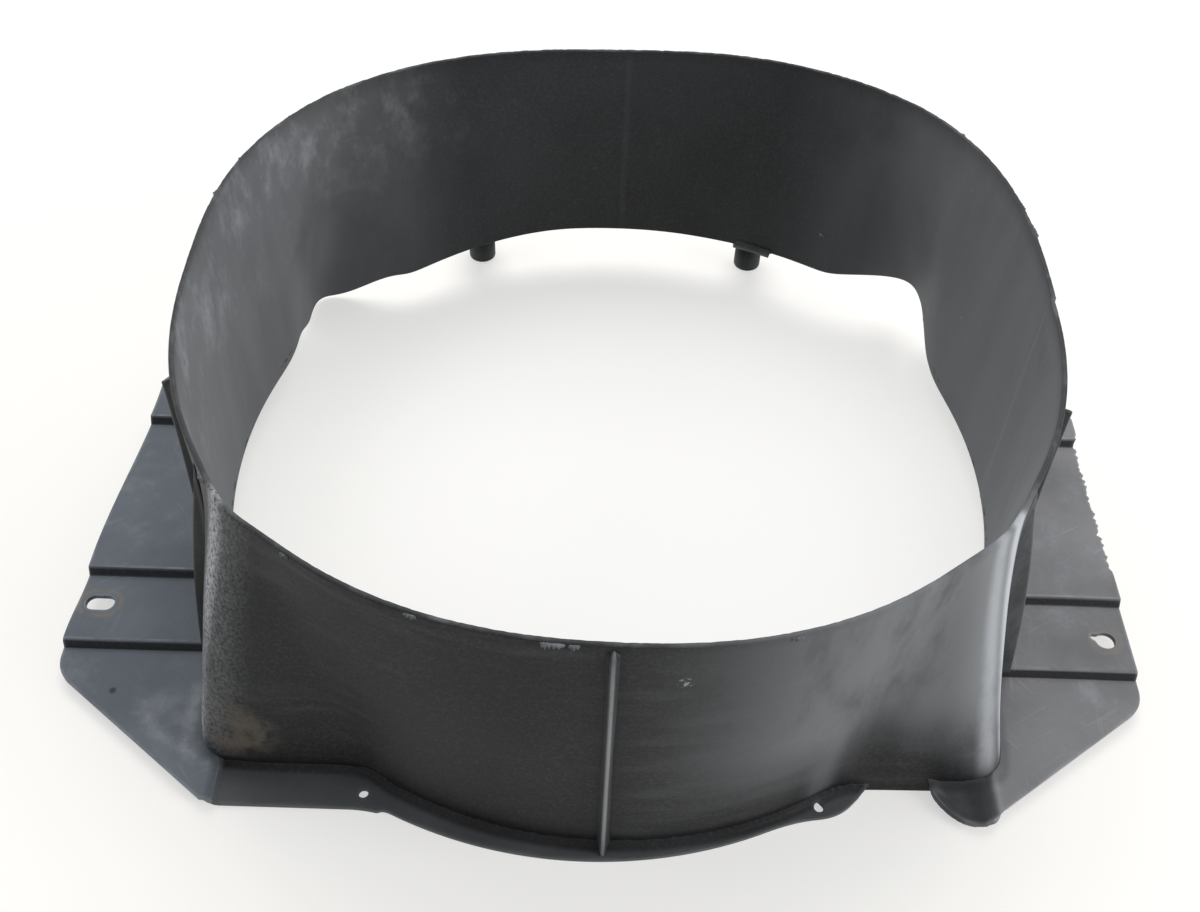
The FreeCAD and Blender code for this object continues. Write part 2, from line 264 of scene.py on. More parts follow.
def stairs(x, y):
    """How many joggles the wings have climbed here, with a short steep riser at each line."""
    lags = (0.0, 0.0, np.where(x < 0, LEFT_LAG, 0.0))
    return sum(ease(y + lag, line + RISER_START, line + RISER_END) for line, lag in zip(STEP_LINES, lags))


def lower_edge(angle):
    """Height of the wall's lower edge: on the floor in front, up a slope behind the wings, then an arch."""
    radius = wall_radius(angle, 0.0)
    x = radius * np.cos(angle)
    y = radius * np.sin(angle)
    climb = JOGGLE * np.interp(y, CLIMB_LINES, CLIMB_JOGGLES)
    rear = ease(y, 120.0 * MM, 165.0 * MM)
    arch = MIDDLE_ARCH * ease(x, -185.0 * MM, -30.0 * MM) + RIGHT_ARCH * ease(x, 60.0 * MM, 200.0 * MM)
    drop = LEFT_DROP * (1.0 - ease(x, -214.0 * MM, -160.0 * MM))
    return climb + rear * (arch - drop)


def cove(angle, z):
    """How far the wall's foot is set back in front, fading out 17 mm up, and deepest under the left box."""
    front = ease(-np.sin(angle), 0.60, 0.72)
    left = ease(-DUCT * np.cos(angle), CREASE_X - 14.0 * MM, CREASE_X + 4.0 * MM)
    return (COVE + LEFT_COVE * left) * front * (1.0 - ease(z, 6.0 * MM, 17.0 * MM))


def face_radius(angle, z):
    """Polar radius of the wall's outer face, cove taken off."""
    return wall_radius(angle, z) - cove(angle, z)


# %% The wall's surface
ANGLES = 640
FACE_STEPS = 48
EDGE_STEPS = 6
INNER_COVE = 0.8
WARP = 0.7 * MM
CHATTER = 0.4 * MM


def section():
    """The cross-section as rows of (share of height, inset share, lift): faces, rounded rim, rounded foot."""
    up = np.linspace(0.0, 1.0, FACE_STEPS) ** 1.4
    turn = np.linspace(0.0, math.pi, EDGE_STEPS + 2)[1:-1]
    zero = np.zeros(FACE_STEPS)
    outer = np.stack([up, zero, zero], 1)
    rim = np.stack([np.ones(EDGE_STEPS), (1.0 - np.cos(turn)) / 2, np.sin(turn)], 1)
    inner = np.stack([up[::-1], zero + 1.0, zero], 1)
    foot = np.stack([np.zeros(EDGE_STEPS), (1.0 + np.cos(turn)) / 2, -np.sin(turn)], 1)
    return np.concatenate([outer, rim, inner, foot])


def wall_surface():
    """Point = polar(wall radius less inset and cove, angle) at a height between lower edge and rim."""
    share, inset, lift = section().T[:, None, :]
    angle = np.linspace(0.0, 2.0 * math.pi, ANGLES, endpoint=False)[:, None]
    z = lerp(lower_edge(angle) + WALL / 2, HEIGHT - WALL / 2, share)
    set_back = cove(angle, z)
    outer_face = (inset < 0.5) & (lift == 0)
    radius = wall_radius(angle, z) - inset * WALL
    radius = radius - np.where(outer_face, set_back, INNER_COVE * set_back)
    radius = radius + WARP * waves(3.0 * angle, z / (60.0 * MM), seed=3) * np.sin(math.pi * share)
    z = z + lift * WALL / 2
    z = z - np.abs(CHATTER * waves(90.0 * angle, 0.0, seed=5) * (lift > 0))
    points = np.stack([radius * np.cos(angle), radius * np.sin(angle), z], -1)
    along = np.linspace(0.0, 1.0, share.size)
    return points, np.stack(np.broadcast_arrays(angle / (2.0 * math.pi), along), -1)


wall_points, wall_uv = wall_surface()
wall_faces = grid_faces(wall_points.shape[0], wall_points.shape[1], True, True)
wall = add_piece(
    "shroud_wall", wall_points, wall_faces,
    "front_wall", "rear_wall", "left_wall", "right_wall", "front_left_corner", "front_right_corner",
    "rear_left_corner", "rear_right_corner", uv=wall_uv,
)


# %% [markdown]
# ## Wings and flange
# The wings and the front flange are flat sheet with a free outline: straight and cut corners, slots, a
# nibbled edge, a rounded tab. Each outline is a signed distance, negative inside, put together with
# minimum for union and maximum for overlap. A fine grid keeps the cells inside, and its edge points slide
# along the slope of the distance onto the outline. The height is a second formula: level ground, one
# rounded riser at each joggle, and a fillet that climbs the wall.

# %% Signed distances
HIDDEN = 1.6 * MM
HIDDEN_AT_END = 0.4 * MM


def half_plane(x, y, px, py, nx, ny):
    """Distance past a line through (px, py), along its outward direction (nx, ny)."""
    size = math.hypot(nx, ny)
    return ((x - px) * nx + (y - py) * ny) / size


def round_min(a, b, k):
    """Minimum of two distances, with the corner between them rounded over k."""
    h = np.clip(0.5 + 0.5 * (b - a) / k, 0.0, 1.0)
    return lerp(b, a, h) - k * h * (1.0 - h)


def round_max(a, b, k):
    """Maximum of two distances, rounded the same way."""
    return -round_min(-a, -b, k)


def cut_to(plan, *limits):
    """The overlap of a plan and further shapes: the maximum of all their distances."""
    for limit in limits:
        plan = np.maximum(plan, limit)
    return plan


def capsule(x, y, px, py, half, radius):
    """Distance to a slot that runs along X: the nearest point of its middle line, less the radius."""
    return np.hypot(x - np.clip(x, px - half, px + half), y - py) - radius


def wall_gap(x, y, z):
    """How far a point stands outside the wall's outer face at a height."""
    return np.hypot(x, y) - face_radius(np.arctan2(y, x), z)


def outside_wall(x, y):
    """Distance into the wall at flange level, less the strip of sheet that hides in it.

    The strip is narrow at the wings' rear ends, which stand below the wall's raised edge.
    """
    wing_end = ease(y, 110.0 * MM, 156.0 * MM) * (1.0 - ease(y, 160.0 * MM, 175.0 * MM))
    return -wall_gap(x, y, 5.0 * MM) - lerp(HIDDEN, HIDDEN_AT_END, wing_end)


# %% Outline of a wing
ROUNDING = 9.0 * MM
CORNER_Y = FRONT_RIB_Y - 13.0 * MM
TIP_X = BOX_HALF_WIDTH - 12.0 * MM
RIGHT_CUT = (80.0, -111.0)
TAPER_X = WING_HALF_WIDTH - 14.0 * MM
TAPER_Y = STEP_LINES[2] + 30.0 * MM
REAR_END_X = BOX_HALF_WIDTH + 10.0 * MM
REAR_END_Y = BOX_REAR - 32.0 * MM
SLOT_X = WING_HALF_WIDTH - 15.0 * MM
SLOT_Y = (FRONT_RIB_Y + WALL + MIDDLE_RIB_Y) / 2
SLOT_HALF = 3.5 * MM
SLOT_RADIUS = 5.0 * MM
WORN_HOLE_X = SLOT_X - 5.5 * MM
WORN_HOLE_Y = SLOT_Y - 4.5 * MM
WORN_HOLE_RADIUS = 6.0 * MM
NICK_RADIUS = 2.2 * MM


def nibbles(y):
    """A worn edge: short irregular bites along part of the right wing."""
    stretch = ease(y, -65.0 * MM, -55.0 * MM) * (1.0 - ease(y, 40.0 * MM, 50.0 * MM))
    coarse = 1.2 * waves(y / (3.0 * MM), 0.0, seed=11)
    fine = 0.9 * waves(y / (1.1 * MM), 0.0, seed=12)
    return stretch * (1.6 + coarse + fine) * MM


def left_edges(across, y):
    """An outer edge that draws in towards the rear, and the cut front corner."""
    drawn_in = 3.0 * ease(y, FRONT_RIB_Y + 6.0 * MM, STEP_LINES[1])
    drawn_in = drawn_in + 10.0 * ease(y, MIDDLE_RIB_Y, 60.0 * MM)
    edge = across - WING_HALF_WIDTH + (0.3 + drawn_in) * MM
    cut = half_plane(
        across, y, WING_HALF_WIDTH, CORNER_Y, CORNER_Y - FLANGE_FRONT, TIP_X - WING_HALF_WIDTH,
    )
    return edge, cut - 2.5 * MM


def right_edges(across, y):
    """A nibbled outer edge, and a front corner cut at a slightly flatter slant."""
    edge = across - WING_HALF_WIDTH + 6.5 * MM + nibbles(y)
    return edge, half_plane(across, y, WING_HALF_WIDTH, CORNER_Y, *RIGHT_CUT)


def slot_distance(x, y, side):
    """The left slot is as moulded. The right one has worn into a round hole with a nick beside it."""
    if side < 0:
        return capsule(x, y, -SLOT_X, SLOT_Y, SLOT_HALF, SLOT_RADIUS)
    hole = np.hypot(x - WORN_HOLE_X, (y - WORN_HOLE_Y) * 1.08) - WORN_HOLE_RADIUS
    nick = np.hypot(x - WORN_HOLE_X + 6.5 * MM, y - WORN_HOLE_Y - 2.5 * MM) - NICK_RADIUS
    return round_min(hole, nick, 2.0 * MM)


def wing_distance(side):
    """Outer edge, cut corner and rear taper, all kept outside the wall, with the slot taken out."""
    def distance(x, y):
        across = side * x
        edge, cut = left_edges(across, y) if side < 0 else right_edges(across, y)
        taper = half_plane(across, y, TAPER_X, TAPER_Y, REAR_END_Y - TAPER_Y, TAPER_X - REAR_END_X)
        plan = cut_to(
            round_max(edge, cut, ROUNDING), taper,
            y - REAR_END_Y, FLANGE_FRONT - y, TIP_X - 3.0 * MM - across,
        )
        if side > 0:
            plan = round_min(plan, np.maximum(foot_distance(x, y), cut), 3.0 * MM)
        return cut_to(plan, outside_wall(x, y), -slot_distance(x, y, side))
    return distance


# %% Outlines of the front flange and the foot
LIP_RADIUS = DUCT + 8.0 * MM
TAB_FRONT = FLANGE_FRONT + 3.0 * MM
TAB_LEFT_X = 90.0 * MM
TAB_CUT = (16.0, -15.0)
FLANGE_REAR = -170.0 * MM
HOLE_RADIUS = 2.75 * MM
HOLE_Y = TAB_FRONT + 2.0 * HOLE_RADIUS
HOLE_XS = (-CREASE_X - 3.0 * MM, CREASE_X - 10.0 * MM)
FOOT_LEFT_X = BOX_HALF_WIDTH - 45.0 * MM
FOOT_SLANT = (-19.0, -13.0)


def flange_distance(x, y):
    """A straight strip on the left, a round lip under the duct and a tab on the right, less two holes."""
    strip = np.maximum(x + CREASE_X - 4.0 * MM, FLANGE_FRONT - y)
    lip = np.hypot(x + 9.0 * MM, y - 2.6 * MM) - LIP_RADIUS - 2.5 * MM
    tab = np.maximum(TAB_FRONT - y, TAB_LEFT_X - x)
    tab = round_max(tab, half_plane(x, y, CREASE_X + 0.5 * MM, TAB_FRONT, *TAB_CUT), ROUNDING)
    plan = round_min(round_min(strip, lip, ROUNDING), tab, ROUNDING)
    plan = cut_to(
        plan, outside_wall(x, y),
        y - FLANGE_REAR, -TIP_X + 2.0 * MM - x, x - CREASE_X - 30.0 * MM,
    )
    return cut_to(plan, *(HOLE_RADIUS - np.hypot(x - hole_x, y - HOLE_Y) for hole_x in HOLE_XS))


def foot_distance(x, y):
    """A rounded cup under the right front corner of the box: a slanting side rounded into the front edge."""
    slant = half_plane(x, y, FOOT_LEFT_X - 1.0 * MM, -BOX_FRONT, *FOOT_SLANT)
    plan = round_max(slant, FLANGE_FRONT - 0.5 * MM - y, 12.0 * MM)
    return np.maximum(plan, x - TIP_X - 2.0 * MM)


# %% Height of the sheet
SAG = 0.6 * MM
FILLET = 4.5 * MM
FOOT_COVE = 10.0 * MM
FOOT_LIP = 3.0 * MM


def fillet(distance, radius):
    """A quarter-round that climbs the wall: radius less the circle's height at this distance."""
    gap = np.clip(radius - distance, 0.0, radius)
    return radius - np.sqrt(radius ** 2 - gap ** 2)


def sheet_height(x, y):
    """Top of the sheet: the flange, up a riser to the wings, up the stairs, and a fillet to the wall."""
    wing = ease(np.abs(x), TIP_X - 4.0 * MM, TIP_X + 1.0 * MM)
    level = WALL + JOGGLE * wing * (1.0 + stairs(x, y))
    sag = SAG * wing * (1.0 + waves(x / (70.0 * MM), y / (70.0 * MM), seed=21))
    return level + sag + fillet(wall_gap(x, y, level), FILLET)


def right_height(x, y):
    """The wing's height, with a foot whose floor sinks from a raised lip and climbs the wall in a cove."""
    slope = ease(x, TIP_X - 16.0 * MM, TIP_X + 3.0 * MM)
    foot = (1.0 - ease(x, TIP_X - 2.0 * MM, TIP_X + 4.0 * MM)) * (1.0 - ease(y, -205.0 * MM, -195.0 * MM))
    lip = FOOT_LIP * (1.0 - ease(-foot_distance(x, y), 0.0, 7.0 * MM))
    cup = WALL + JOGGLE * slope + lip + fillet(wall_gap(x, y, 8.0 * MM), FOOT_COVE)
    return lerp(sheet_height(x, y), cup, foot)


# %% A sheet from a distance and a height
NUDGE = 0.05 * MM
SHEET_EDGE = 0.5 * MM


def slid_to_outline(distance, x, y, moving, step):
    """Four steps down the slope of the distance bring the moving points onto the outline."""
    for _ in range(4):
        d = distance(x, y)
        dx = (distance(x + NUDGE, y) - distance(x - NUDGE, y)) / (2.0 * NUDGE)
        dy = (distance(x, y + NUDGE) - distance(x, y - NUDGE)) / (2.0 * NUDGE)
        slope = np.maximum(dx ** 2 + dy ** 2, 0.25)
        x = np.where(moving, x - np.clip(d * dx / slope, -step, step), x)
        y = np.where(moving, y - np.clip(d * dy / slope, -step, step), y)
    return x, y


def sheet(name, distance, height, area, step, *nodes):
    """Grid cells whose middle is inside, edge points slid onto the outline, 3 mm thick below the top.

    The UV map holds two distances in metres: the gap to the wall, and the inset from the outline.
    """
    x0, x1, y0, y1 = area
    x, y = np.meshgrid(np.arange(x0, x1 + step, step), np.arange(y0, y1 + step, step), indexing="ij")
    faces = grid_faces(*x.shape)
    x, y = x.ravel(), y.ravel()
    faces = faces[distance(x[faces].mean(1), y[faces].mean(1)) < 0.0]
    uses = np.bincount(faces.ravel(), minlength=x.size)
    x, y = slid_to_outline(distance, x, y, (uses > 0) & (uses < 4), step)
    keep = np.flatnonzero(uses)
    order = np.full(x.size, -1)
    order[keep] = np.arange(len(keep))
    x, y = x[keep], y[keep]
    points = np.stack([x, y, height(x, y)], 1)
    uv = np.stack([wall_gap(x, y, 8.0 * MM), -distance(x, y)], 1)
    return add_piece(name, points, order[faces], *nodes, uv=uv, bevel=SHEET_EDGE, solid=WALL)


# %% Two wings and the flange
WING_STEP = 1.4 * MM
FLANGE_STEP = 1.3 * MM
WING_REACH = WING_HALF_WIDTH + 2.0 * MM
WING_SPANS = {"left": (-WING_REACH, 6.0 * MM - TIP_X), "right": (FOOT_LEFT_X - 5.0 * MM, WING_REACH)}
WING_HEIGHTS = {"left": sheet_height, "right": right_height}
PANELS = ("wing_front_panel", "wing_slot_panel", "wing_middle_panel", "wing_rear_panel")
EXTRA_NODES = {"left": [], "right": ["front_right_foot"]}
wings = {}
for side, word in SIDES:
    area = WING_SPANS[word] + (FLANGE_FRONT - 2.0 * MM, REAR_END_Y + 2.0 * MM)
    nodes = [f"{word}_{panel}" for panel in PANELS] + EXTRA_NODES[word]
    wings[word] = sheet(f"{word}_wing", wing_distance(side), WING_HEIGHTS[word], area, WING_STEP, *nodes)

flange = sheet(
    "front_flange", flange_distance, sheet_height,
    (-TIP_X, CREASE_X + 25.0 * MM, -LIP_RADIUS - 2.0 * MM, FLANGE_REAR), FLANGE_STEP,
    "front_left_flange", "front_lip", "front_right_tab",
)


# %% [markdown]
# ## Ribs
# Each rib is a thin blade that stands on the wall. It is a profile carried up the wall: at every height the
# section starts inside the wall, flares in with a small fillet, runs along the blade's side and turns
# round its nose. The same function makes the side ribs, which stand in planes of constant Y, and the two
# centre ribs, which stand in the plane of X = 0. A flat box would neither follow the wall nor have a
# fillet at its root.

# %% A blade on the wall
BLADE_ROWS = 60
ROOT = 1.5 * MM
FLARE_OUT = 3.0 * MM
FLARE_ACROSS = 2.0 * MM
TOP_ROUND = 0.015


def reach_along(side, axis, offset, z):
    """How far out the wall's face is along X or Y, by twelve polar corrections from the duct's radius."""
    out = np.full_like(z, DUCT)
    for _ in range(12):
        angle = np.arctan2(offset, side * out) if axis == "x" else np.arctan2(side * out, offset)
        radius = wall_radius(angle, z)
        out = np.sqrt(np.maximum(radius ** 2 - offset ** 2, 0.0))
    return out


def blade(name, side, axis, offset, low, high, nose, thick, *nodes):
    """Rows climb the wall; each row is wall, fillet, flank, round nose, flank, fillet, wall."""
    t = np.linspace(0.0, 1.0, BLADE_ROWS)[:, None]
    z = lerp(low, high, t)
    half = thick / 2
    wall_at = reach_along(side, axis, offset, z) - ROOT
    tip = np.maximum(nose(t), wall_at + 1.0 * MM)
    turn = np.linspace(-math.pi / 2, math.pi / 2, 9)
    flare = np.linspace(0.0, 1.0, 6)
    foot = wall_at + ROOT + FLARE_OUT * flare
    spread = FLARE_ACROSS * (1.0 - np.sqrt(1.0 - (1.0 - flare) ** 2))
    out = np.concatenate([foot, tip + half * (np.cos(turn) - 1.0), foot[:, ::-1]], 1)
    out = np.minimum(out, tip)
    out[:, :1] = wall_at
    out[:, -1:] = wall_at
    across = np.concatenate([-half - spread, half * np.sin(turn), half + spread[::-1]])
    past = ((t - 1.0 + TOP_ROUND) / TOP_ROUND).clip(0.0, 1.0)
    full = np.sqrt(1.0 - past ** 2)
    out = wall_at + (out - wall_at) * (0.25 + 0.75 * full)
    across = across * (0.05 + 0.95 * full)
    plan = [side * out, offset + across] if axis == "x" else [offset - across, side * out]
    points = np.stack(plan + [np.broadcast_to(z, out.shape)], -1)
    piece = add_piece(name, points, grid_faces(BLADE_ROWS, out.shape[1], False, True), *nodes)
    close_ends(piece)
    return piece


def close_ends(piece):
    """Fills the open loops at both ends of a carried profile and turns every face outwards."""
    shape = bmesh.new()
    shape.from_mesh(piece.data)
    bmesh.ops.holes_fill(shape, edges=[edge for edge in shape.edges if edge.is_boundary], sides=0)
    bmesh.ops.recalc_face_normals(shape, faces=shape.faces)
    shape.to_mesh(piece.data)
    shape.free()
    piece.data.shade_smooth()


# %% Side ribs and centre ribs
RIB = 3.0 * MM
RIB_TOP = HEIGHT - 7.0 * MM
CENTRE_RIB = 4.0 * MM
CENTRE_RIB_TOP = HEIGHT - 3.5 * MM


def upright(top_x):
    """The outer edge of an upright rib leans out 7 mm towards its foot."""
    return lambda t: top_x + 7.0 * MM * (1.0 - t) ** 1.6


def leaning(t):
    """The front rib leans in with the box corner, with a slight belly half way up."""
    straight = lerp(BOX_HALF_WIDTH + 10.0 * MM, BOX_HALF_WIDTH - 21.0 * MM, t)
    return straight + 3.0 * MM * np.sin(math.pi * t) ** 0.8


def centred(t):
    """A centre rib stands 6 mm off the duct all the way up."""
    return lerp(DUCT, RIM_HALF_DEPTH, t) + 6.0 * MM


SIDE_RIBS = {
    "front_rib": (FRONT_RIB_Y, 2, leaning),
    "middle_rib": (MIDDLE_RIB_Y, 3, upright(RIM_HALF_WIDTH - 4.5 * MM)),
    "rear_rib": (REAR_RIB_Y, 4, upright(RIM_HALF_WIDTH + 4.5 * MM)),
    "back_rib": (BACK_RIB_Y, 4, upright(RIM_HALF_WIDTH - 4.5 * MM)),
}
REAR_LOW = float(lower_edge(np.array(math.pi / 2))) + 1.0 * MM
CENTRE_RIBS = {"front_centre_rib": (-1, WALL / 2), "rear_centre_rib": (1, REAR_LOW)}
ribs = []
for side, word in SIDES:
    for rib_name, (line, level, nose) in SIDE_RIBS.items():
        low = level * JOGGLE + WALL / 2
        node = f"{word}_{rib_name}"
        ribs.append(blade(f"{node}_blade", side, "x", line + RIB / 2, low, RIB_TOP, nose, RIB, node))
for node, (side, low) in CENTRE_RIBS.items():
    ribs.append(blade(f"{node}_blade", side, "y", 0.0, low, CENTRE_RIB_TOP, centred, CENTRE_RIB, node))

# %% [markdown]
# ## Rear pegs and ears
# Two round pegs stand under ears on the rear edge. A peg is a profile turned about its own axis, with a
# rounded lower end that a plain cylinder wouldn't have. The ear is another small sheet: a bar with a
# round end, and a deep cove up the wall.

# %% Pegs and ears
PEG_SIDES = 48
PEG_EDGE = 1.5 * MM
EAR_COVE = 13.0 * MM
EAR_STEP = 1.0 * MM


def peg_surface(low, high):
    """A profile of (radius, height) turned about the peg's axis: foot, rounded edge, side and top."""
    middle = (low + high) / 2
    radius = (high.x - low.x) / 2
    turn = np.linspace(0.0, math.pi / 2, 6)
    out = np.concatenate([[0.0], radius - PEG_EDGE + PEG_EDGE * np.sin(turn), [radius, 0.0]])
    up = np.concatenate([[low.z], low.z + PEG_EDGE - PEG_EDGE * np.cos(turn), [high.z, high.z]])
    angle = np.linspace(0.0, 2.0 * math.pi, PEG_SIDES, endpoint=False)[:, None]
    return np.stack(np.broadcast_arrays(
        middle.x + out * np.cos(angle), middle.y + out * np.sin(angle), up,
    ), -1)


def ear_form(middle, half, top):
    """An ear's outline and height: a bar with a round end about the peg, and a cove that climbs the wall."""
    def distance(x, y):
        bar = np.maximum(np.abs(x - middle.x) - half, y - middle.y)
        end = np.hypot(x - middle.x, y - middle.y) - half
        return cut_to(np.minimum(bar, end), outside_wall(x, y))

    def height(x, y):
        return top + fillet(wall_gap(x, y, top), EAR_COVE)
    return distance, height


pegs = []
for side, word in SIDES:
    low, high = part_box(f"rear_{word}_peg")
    points = peg_surface(low, high)
    peg = add_piece(f"{word}_peg", points, grid_faces(PEG_SIDES, points.shape[1], True), f"rear_{word}_peg")
    ear_low, ear_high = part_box(f"rear_{word}_ear")
    distance, height = ear_form((low + high) / 2, (ear_high.x - ear_low.x) / 2, ear_high.z)
    area = (ear_low.x - 2.0 * MM, ear_high.x + 2.0 * MM, ear_low.y - 4.0 * MM, ear_high.y + 2.0 * MM)
    pegs += [peg, sheet(f"{word}_ear", distance, height, area, EAR_STEP, f"rear_{word}_ear")]


# %% [markdown]
# ## Frayed flash on the rim
# Where the two halves of the mould met, a thin skin of plastic is left on the rim, and it frays. Each tuft
# is a short crinkled ribbon laid along the outer edge of the rim: a strip of points whose reach and height
# are small random numbers from a fixed seed.

# %% Tufts of flash
TUFT_POINTS = 14
TUFT_ROWS = 3
TUFT_SEED = 50
FLASH = 0.35 * MM
# (turn in radians, length in mm, reach in mm)
TUFTS = (
    (4.60, 11.0, 3.4), (4.64, 5.0, 2.4), (4.33, 6.0, 1.8), (4.05, 5.0, 1.6),
    (3.78, 9.0, 2.2), (5.05, 6.0, 1.4), (0.24, 12.0, 2.2), (0.33, 6.0, 1.8),
    (2.52, 6.0, 1.4), (2.86, 4.0, 1.6), (0.62, 4.0, 2.2), (1.55, 4.0, 1.6),
)


def tuft(turn, length, reach, seed):
    """A ribbon of 3 rows along the rim at this turn, its free edge pushed in and out at random."""
    rng = np.random.default_rng(seed)
    angle = turn + np.linspace(-0.5, 0.5, TUFT_POINTS) * length / DUCT
    fade = np.sin(np.linspace(0.0, math.pi, TUFT_POINTS)) ** 0.6
    out = fade * reach * rng.uniform(0.2, 1.0, TUFT_POINTS)
    base = wall_radius(angle, HEIGHT - 2.0 * MM)
    drop = rng.uniform(0.0, 1.4, TUFT_POINTS) * MM
    radius = np.stack([base - 0.6 * MM, base + 0.5 * out, base + out], 1)
    z = HEIGHT - np.stack([np.full(TUFT_POINTS, 1.3 * MM), 1.4 * MM + 0.4 * drop, 1.7 * MM + drop], 1)
    return np.stack([radius * np.cos(angle)[:, None], radius * np.sin(angle)[:, None], z], -1)


tufts = np.concatenate([
    tuft(turn, length * MM, reach * MM, TUFT_SEED + n) for n, (turn, length, reach) in enumerate(TUFTS)
])
strip = grid_faces(TUFT_POINTS, TUFT_ROWS)
flash_faces = np.concatenate([strip + TUFT_POINTS * TUFT_ROWS * n for n in range(len(TUFTS))])
flash = add_piece("rim_flash", tufts, flash_faces, solid=FLASH)


# %% [markdown]
# ## Shader maths
# A material is a graph of nodes, but its maths reads better as Python. The first class below wraps an
# output socket, so that a + b, 1 - mask or a * 0.5 each add a Math node. The second wraps the tree.

# %% A value in a shader
class Value:
    """A number that varies over a surface: an output socket that takes part in arithmetic."""

    def __init__(self, graph, socket):
        self.graph = graph
        self.socket = socket

    def _math(self, operation, first, second):
        """A Math node on two values or numbers."""
        return self.graph.node("ShaderNodeMath", {"operation": operation}, {0: first, 1: second})

    def __add__(self, other):
        return self._math("ADD", self, other)

    def __sub__(self, other):
        return self._math("SUBTRACT", self, other)

    def __rsub__(self, other):
        return self._math("SUBTRACT", other, self)

    def __mul__(self, other):
        return self._math("MULTIPLY", self, other)

    def __pow__(self, other):
        return self._math("POWER", self, other)

    __radd__ = __add__
    __rmul__ = __mul__

    def distance(self):
        """How far the value is from 0, either way."""
        return self._math("ABSOLUTE", self, 0.0)

    def at_least(self, low):
        """The value, or low where that is larger."""
        return self._math("MAXIMUM", self, low)

    def within(self, low, high):
        """Smooth step from 0 at low to 1 at high, or the other way where low is above high."""
        if low > high:
            return 1.0 - self.within(high, low)
        settings = {"interpolation_type": "SMOOTHSTEP"}
        inputs = {"Value": self, "From Min": low, "From Max": high}
        return self.graph.node("ShaderNodeMapRange", settings, inputs)

    def band(self, middle, half, core):
        """1 within core of the middle, fading to 0 at half either side."""
        return (self - middle).distance().within(half, core)


# %% A tree of nodes
GRAIN = 0.35
MOTTLE = 0.22


class Graph:
    """The node tree of a material or of the world, with one method that adds any node."""

    def __init__(self, owner):
        owner.use_nodes = True
        self.owner = owner
        self.tree = owner.node_tree
        self.tree.nodes.clear()

    def node(self, kind, settings=None, inputs=None, output=0):
        """Adds a node: its settings first, then a value or a link for each named input."""
        node = self.tree.nodes.new(kind)
        for key, value in (settings or {}).items():
            setattr(node, key, value)
        for key, value in (inputs or {}).items():
            if isinstance(value, Value):
                self.tree.links.new(value.socket, node.inputs[key])
            else:
                node.inputs[key].default_value = value
        return Value(self, node.outputs[output])

    def finish(self, shader, kind="ShaderNodeOutputMaterial"):
        """Joins a shader to the output, and gives back the material or world."""
        output = self.tree.nodes.new(kind)
        self.tree.links.new(shader.socket, output.inputs["Surface"])
        return self.owner

    def numbers(self, vector, count):
        """The first few numbers of a vector."""
        split = self.node("ShaderNodeSeparateXYZ", None, {0: vector})
        return [Value(self, split.socket.node.outputs[i]) for i in range(count)]

    def axes(self):
        """X, Y and Z in metres."""
        return self.numbers(self.node("ShaderNodeTexCoord", output="Object"), 3)

    def surface(self):
        """The two numbers of the piece's own UV map."""
        return self.numbers(self.node("ShaderNodeUVMap", {"uv_map": "around"}), 2)

    def place(self, stretch, turn):
        """Object coordinates in metres, turned about Z, then stretched per axis."""
        spot = self.node("ShaderNodeTexCoord", output="Object")
        inputs = {"Vector": spot, "Rotation": (0.0, 0.0, turn), "Scale": tuple(1.0 / s for s in stretch)}
        return self.node("ShaderNodeMapping", {"vector_type": "TEXTURE"}, inputs)

    def noise(self, scale, detail=4.0, stretch=(1.0, 1.0, 1.0), roughness=0.55, turn=0.0):
        """Cloudy noise between 0 and 1, scale in cells per metre."""
        return self.node("ShaderNodeTexNoise", None, {
            "Vector": self.place(stretch, turn), "Scale": scale, "Detail": detail, "Roughness": roughness,
        })

    def mix(self, mask, below, above):
        """Colour below where the mask is 0, above where it is 1."""
        settings = {"data_type": "RGBA", "clamp_factor": True}
        return self.node("ShaderNodeMix", settings, {0: mask, 6: below, 7: above}, 2)

    def plastic(self, tint, roughness, height):
        """The shader: tint, with a fine pale grain, and roughness vary, and a height drives the bump."""
        mottle = self.noise(520.0, 4.0, roughness=0.7).within(0.42, 0.74) * self.noise(15.0, 3.0)
        tint = self.mix(mottle * MOTTLE, tint, DUST_AND_PAINTED_LIGHT)
        bump = self.node("ShaderNodeBump", None, {"Height": height, "Strength": GRAIN, "Distance": 1.0 * MM})
        return self.finish(self.node("ShaderNodeBsdfPrincipled", None, {
            "Base Color": tint, "Roughness": roughness, "Normal": bump, "IOR": 1.5, "Specular IOR Level": 0.2,
        }))


def away(a, a_middle, b, b_middle):
    """Squared distance from a point, measured on two axes."""
    return (a - a_middle) ** 2.0 + (b - b_middle) ** 2.0


# %% [markdown]
# ## Finishes
# The plastic is charcoal polypropylene. Upward faces and the throat's sides are grey with dust, and the
# throat's sides also carry painted light from the side lamps; the rest is nearly black. Rain has run
# down the walls in faint streaks, hands and tools have scuffed the wings, and the rim is chafed pale.
# Painted shade darkens the creases, the wall's foot, the joggles and the sheet by the wall, and painted
# highlights brighten the box's front corners and the right front face. Each finish starts from a dark
# tint and lays one kind of wear or painted light after another over it, each with a mask of its own:
# where it is, times how broken up it is.

# %% Colours of the plastic, of its wear and of painted light and shade
def colour(r, g, b):
    """A colour that covers fully."""
    return (r, g, b, 1.0)


# The darkest colour also serves as painted shade, the dust colour as painted light and the chalk colour as
# painted highlights, where the wear below says so.
CHARCOAL = colour(0.015, 0.016, 0.017)
SOOT_AND_SHADE = colour(0.006, 0.006, 0.007)
DUST_AND_PAINTED_LIGHT = colour(0.152, 0.161, 0.172)
CHALK_AND_HIGHLIGHT = colour(0.42, 0.44, 0.475)
DIRT = colour(0.115, 0.100, 0.078)
RUST = colour(0.20, 0.170, 0.135)

